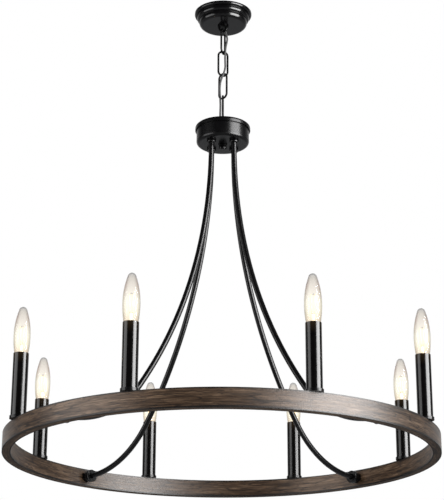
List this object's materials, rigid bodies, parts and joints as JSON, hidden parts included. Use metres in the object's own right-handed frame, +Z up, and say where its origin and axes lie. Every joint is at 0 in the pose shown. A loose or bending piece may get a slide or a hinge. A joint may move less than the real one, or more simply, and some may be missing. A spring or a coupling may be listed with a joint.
{
  "type": "wagon wheel chandelier",
  "caption": "Wheel chandelier: wood-effect hoop carrying candle lights, hung by bent tube arms, a small round hub, a short chain and a cord from a stepped ceiling canopy.",
  "frame": {"origin": "middle of the ceiling plane, between the crossbar's two slots; everything hangs below z = 0", "axes": "+Z up to the ceiling, +X to the right and +Y away from the camera in the picture; the crossbar and its slots run along X"},
  "size_m": [0.7999, 0.8, 0.912],
  "materials": {
    "satin_black_metal": "satin black powder coat on steel",
    "plated_steel": "zinc-plated steel, out of sight",
    "green_screw": "green earth screw",
    "cord_cover": "black woven cover on a round supply cord",
    "wood_effect": "matte wood-grain print on steel, grey-brown, with dark edges",
    "gloss_black_sleeve": "gloss black candle sleeve",
    "holder_white": "white moulded lamp holder, out of sight",
    "clear_glass": "clear glass, lit from inside",
    "lamp_base": "plain screw base and filament mount"
  },
  "bodies": {
    "ceiling_fitting": {"crossbar": "plated_steel", "crossbar_nipple": "plated_steel", "nipple_nuts": "plated_steel", "ground_screw": "green_screw", "canopy": "satin_black_metal", "canopy_loop": "satin_black_metal", "supply_cord": "cord_cover"},
    "link_1": {"chain_link_1": "satin_black_metal"},
    "link_2": {"chain_link_2": "satin_black_metal"},
    "link_3": {"chain_link_3": "satin_black_metal"},
    "link_4": {"chain_link_4": "satin_black_metal"},
    "chandelier": {"hub_loop": "satin_black_metal", "hub_lid": "satin_black_metal", "hub_cup": "satin_black_metal", "hub_rod": "plated_steel", "hub_finial": "satin_black_metal", "arm_1": "satin_black_metal", "arm_2": "satin_black_metal", "arm_3": "satin_black_metal", "arm_4": "satin_black_metal", "arm_top_collars": "satin_black_metal", "arm_end_collars": "satin_black_metal", "arm_end_nuts": "satin_black_metal", "arm_lock_nuts": "plated_steel", "wheel_ring": "wood_effect", "candle_saucers": "satin_black_metal", "candle_nipples": "plated_steel", "candle_nuts": "plated_steel", "candle_sleeve_1": "gloss_black_sleeve", "candle_sleeve_2": "gloss_black_sleeve", "candle_sleeve_3": "gloss_black_sleeve", "candle_sleeve_4": "gloss_black_sleeve", "candle_sleeve_5": "gloss_black_sleeve", "candle_sleeve_6": "gloss_black_sleeve", "candle_sleeve_7": "gloss_black_sleeve", "candle_sleeve_8": "gloss_black_sleeve", "lamp_holder_1": "holder_white", "lamp_holder_2": "holder_white", "lamp_holder_3": "holder_white", "lamp_holder_4": "holder_white", "lamp_holder_5": "holder_white", "lamp_holder_6": "holder_white", "lamp_holder_7": "holder_white", "lamp_holder_8": "holder_white"},
    "bulb_1": {"bulb_glass_1": "clear_glass", "bulb_base_1": "lamp_base"},
    "bulb_2": {"bulb_glass_2": "clear_glass", "bulb_base_2": "lamp_base"},
    "bulb_3": {"bulb_glass_3": "clear_glass", "bulb_base_3": "lamp_base"},
    "bulb_4": {"bulb_glass_4": "clear_glass", "bulb_base_4": "lamp_base"},
    "bulb_5": {"bulb_glass_5": "clear_glass", "bulb_base_5": "lamp_base"},
    "bulb_6": {"bulb_glass_6": "clear_glass", "bulb_base_6": "lamp_base"},
    "bulb_7": {"bulb_glass_7": "clear_glass", "bulb_base_7": "lamp_base"},
    "bulb_8": {"bulb_glass_8": "clear_glass", "bulb_base_8": "lamp_base"}
  },
  "joints": [
    {"name": "chain_pivot_1", "type": "hinge", "parent": "ceiling_fitting", "child": "link_1", "pos_m": [0, 0, -0.04], "axis": [0.9272, -0.3746, 0], "range_deg": [-20, 20], "deforming": ["supply_cord"]},
    {"name": "chain_pivot_2", "type": "hinge", "parent": "link_1", "child": "link_2", "pos_m": [0, 0, -0.0893], "axis": [0.3746, 0.9272, 0], "range_deg": [-20, 20]},
    {"name": "chain_pivot_3", "type": "hinge", "parent": "link_2", "child": "link_3", "pos_m": [0, 0, -0.1386], "axis": [0.9659, 0.2588, 0], "range_deg": [-20, 20]},
    {"name": "chain_pivot_4", "type": "hinge", "parent": "link_3", "child": "link_4", "pos_m": [0, 0, -0.1879], "axis": [0.788, -0.6157, 0], "range_deg": [-20, 20]},
    {"name": "chain_pivot_5", "type": "hinge", "parent": "link_4", "child": "chandelier", "pos_m": [0, 0, -0.2372], "axis": [-0.0175, -0.9998, 0], "range_deg": [-20, 20]},
    {"name": "bulb_1_out", "type": "slide", "parent": "chandelier", "child": "bulb_1", "axis": [0, 0, 1], "range_m": [0, 0.022]},
    {"name": "bulb_2_out", "type": "slide", "parent": "chandelier", "child": "bulb_2", "axis": [0, 0, 1], "range_m": [0, 0.022]},
    {"name": "bulb_3_out", "type": "slide", "parent": "chandelier", "child": "bulb_3", "axis": [0, 0, 1], "range_m": [0, 0.022]},
    {"name": "bulb_4_out", "type": "slide", "parent": "chandelier", "child": "bulb_4", "axis": [0, 0, 1], "range_m": [0, 0.022]},
    {"name": "bulb_5_out", "type": "slide", "parent": "chandelier", "child": "bulb_5", "axis": [0, 0, 1], "range_m": [0, 0.022]},
    {"name": "bulb_6_out", "type": "slide", "parent": "chandelier", "child": "bulb_6", "axis": [0, 0, 1], "range_m": [0, 0.022]},
    {"name": "bulb_7_out", "type": "slide", "parent": "chandelier", "child": "bulb_7", "axis": [0, 0, 1], "range_m": [0, 0.022]},
    {"name": "bulb_8_out", "type": "slide", "parent": "chandelier", "child": "bulb_8", "axis": [0, 0, 1], "range_m": [0, 0.022]}
  ]
}
